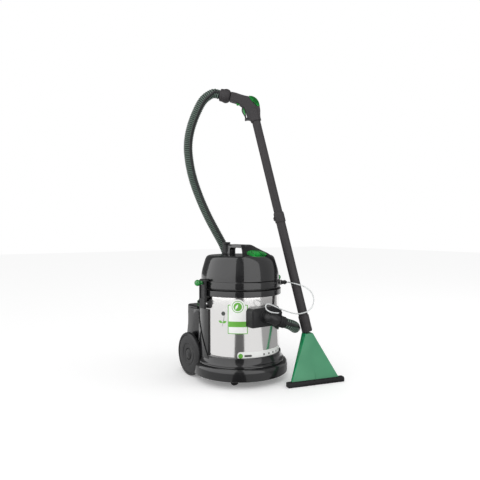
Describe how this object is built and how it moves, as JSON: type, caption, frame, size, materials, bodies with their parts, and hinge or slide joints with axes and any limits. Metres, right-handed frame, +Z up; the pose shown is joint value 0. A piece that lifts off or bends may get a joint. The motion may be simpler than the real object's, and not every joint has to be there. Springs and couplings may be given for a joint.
{
  "type": "carpet cleaner machine",
  "caption": "Upright canister carpet cleaner: steel drum on a wheeled base, clamped motor head, and a suction hose running to a wand with a green floor nozzle.",
  "frame": {"origin": "on the floor under the middle of the outline, clear of the hose and the tube", "axes": "+X to the right seen from the front, +Y towards the tank and the rear wheels, +Z up; the drum stands along +Z and the wand side is the front, -Y"},
  "size_m": [0.5615, 0.5953, 1.2566],
  "materials": {
    "gloss_black": "moulded glossy anthracite, softly reflecting",
    "satin_black": "satin moulded black",
    "rubber": "matte soft rubber",
    "polished_steel": "smooth rolled stainless steel with a soft mirror sheen",
    "plain_steel": "plain turned steel",
    "green_clear": "translucent green moulding",
    "copper": "enamelled windings and can of the motor",
    "white_plastic": "natural white moulding",
    "wand_grey": "fine-grained matte dark grey",
    "nozzle_green": "green moulding with a soft sheen",
    "hose_green": "dark green-grey ribbed hose",
    "clear_tube": "clear soft tube"
  },
  "bodies": {
    "machine": {"base_shell": "gloss_black", "button_panel": "green_clear", "cable_gland": "rubber", "clamp_bracket_left": "satin_black", "clamp_bracket_right": "satin_black", "clamp_pin_left": "plain_steel", "clamp_pin_right": "plain_steel", "drum": "polished_steel", "drum_collar": "gloss_black", "exhaust_port": "satin_black", "fan_housing": "plain_steel", "float_cage": "satin_black", "handle_cuff": "wand_grey", "handle_shell": "wand_grey", "head_housing": "gloss_black", "head_seal": "rubber", "hose_cuff": "rubber", "inlet_elbow": "satin_black", "inlet_plate": "satin_black", "motor_deck": "satin_black", "nozzle_body": "nozzle_green", "nozzle_lip": "rubber", "quick_coupling": "satin_black", "solution_pump": "white_plastic", "solution_tube": "clear_tube", "stub_axle_left": "plain_steel", "stub_axle_right": "plain_steel", "suction_hose": "hose_green", "top_cover": "gloss_black", "trigger_pin": "plain_steel", "vacuum_motor": "copper", "wand_cuff": "satin_black", "wand_joint_sleeve": "wand_grey", "wand_lower_tube": "wand_grey", "wand_upper_tube": "wand_grey"},
    "rear_wheel_left_body": {"rear_wheel_left": "satin_black", "hub_cap_left": "gloss_black"},
    "rear_wheel_right_body": {"rear_wheel_right": "satin_black", "hub_cap_right": "gloss_black"},
    "caster_left": {"caster_fork_left": "satin_black", "caster_pin_left": "plain_steel"},
    "caster_right": {"caster_fork_right": "satin_black", "caster_pin_right": "plain_steel"},
    "caster_roller_left": {"caster_wheel_left": "rubber"},
    "caster_roller_right": {"caster_wheel_right": "rubber"},
    "clamp_left": {"clamp_lever_left": "satin_black", "clamp_knob_left": "green_clear"},
    "clamp_right": {"clamp_lever_right": "satin_black", "clamp_knob_right": "green_clear"},
    "tank": {"rear_tank": "gloss_black"},
    "cap": {"tank_cap": "green_clear"},
    "button_left_body": {"button_left": "green_clear"},
    "button_right_body": {"button_right": "green_clear"},
    "trigger_body": {"trigger": "wand_grey"},
    "air_valve": {"air_valve_key": "green_clear"},
    "lock_tab_body": {"lock_tab": "green_clear"},
    "float": {"float_cup": "white_plastic"},
    "fan": {"fan_impeller": "plain_steel"}
  },
  "joints": [
    {"name": "rear_wheel_left_spin", "type": "hinge", "parent": "machine", "child": "rear_wheel_left_body", "pos_m": [-0.2184, 0.16228, 0.092], "axis": [1, 0, 0], "continuous": true},
    {"name": "rear_wheel_right_spin", "type": "hinge", "parent": "machine", "child": "rear_wheel_right_body", "pos_m": [0.1366, 0.16228, 0.092], "axis": [1, 0, 0], "continuous": true},
    {"name": "caster_left_swivel", "type": "hinge", "parent": "machine", "child": "caster_left", "pos_m": [-0.1419, -0.07972, 0.07], "axis": [0, 0, 1], "continuous": true},
    {"name": "caster_left_roll", "type": "hinge", "parent": "caster_left", "child": "caster_roller_left", "pos_m": [-0.1419, -0.06672, 0.025], "axis": [1, 0, 0], "continuous": true},
    {"name": "caster_right_swivel", "type": "hinge", "parent": "machine", "child": "caster_right", "pos_m": [0.0601, -0.07972, 0.07], "axis": [0, 0, 1], "continuous": true},
    {"name": "caster_right_roll", "type": "hinge", "parent": "caster_right", "child": "caster_roller_right", "pos_m": [0.0601, -0.06672, 0.025], "axis": [1, 0, 0], "continuous": true},
    {"name": "clamp_left_swing", "type": "hinge", "parent": "machine", "child": "clamp_left", "pos_m": [-0.2279, 0.03528, 0.33], "axis": [0, -1, 0], "range_deg": [0, 18]},
    {"name": "clamp_right_swing", "type": "hinge", "parent": "machine", "child": "clamp_right", "pos_m": [0.1461, 0.03528, 0.33], "axis": [0, 1, 0], "range_deg": [0, 18]},
    {"name": "tank_slide", "type": "slide", "parent": "machine", "child": "tank", "axis": [0, 1, 0], "range_m": [0, 0.11]},
    {"name": "cap_turn", "type": "hinge", "parent": "tank", "child": "cap", "pos_m": [-0.1049, 0.24128, 0.3], "axis": [0, 0, 1], "range_deg": [0, 90]},
    {"name": "button_left_press", "type": "slide", "parent": "machine", "child": "button_left_body", "axis": [0, 0.5878, -0.809], "range_m": [0, 0.002], "stiffness_N_per_m": 800},
    {"name": "button_right_press", "type": "slide", "parent": "machine", "child": "button_right_body", "axis": [0, 0.5878, -0.809], "range_m": [0, 0.002], "stiffness_N_per_m": 800},
    {"name": "trigger_pull", "type": "hinge", "parent": "machine", "child": "trigger_body", "pos_m": [0.00189, 0.05499, 1.17224], "axis": [-0.5708, -0.8145, 0.1038], "range_deg": [0, 8], "stiffness_Nm_per_rad": 0.4},
    {"name": "air_valve_press", "type": "slide", "parent": "machine", "child": "air_valve", "axis": [-0.7323, 0.4479, -0.513], "range_m": [0, 0.0015], "stiffness_N_per_m": 600},
    {"name": "lock_tab_press", "type": "slide", "parent": "machine", "child": "lock_tab_body", "axis": [-0.1278, 0.2131, 0.9686], "range_m": [0, 0.003], "stiffness_N_per_m": 600},
    {"name": "float_rise", "type": "slide", "parent": "machine", "child": "float", "axis": [0, 0, 1], "range_m": [0, 0.028]},
    {"name": "fan_spin", "type": "hinge", "parent": "machine", "child": "fan", "pos_m": [-0.0409, 0.03528, 0.39], "axis": [0, 0, 1], "continuous": true}
  ]
}
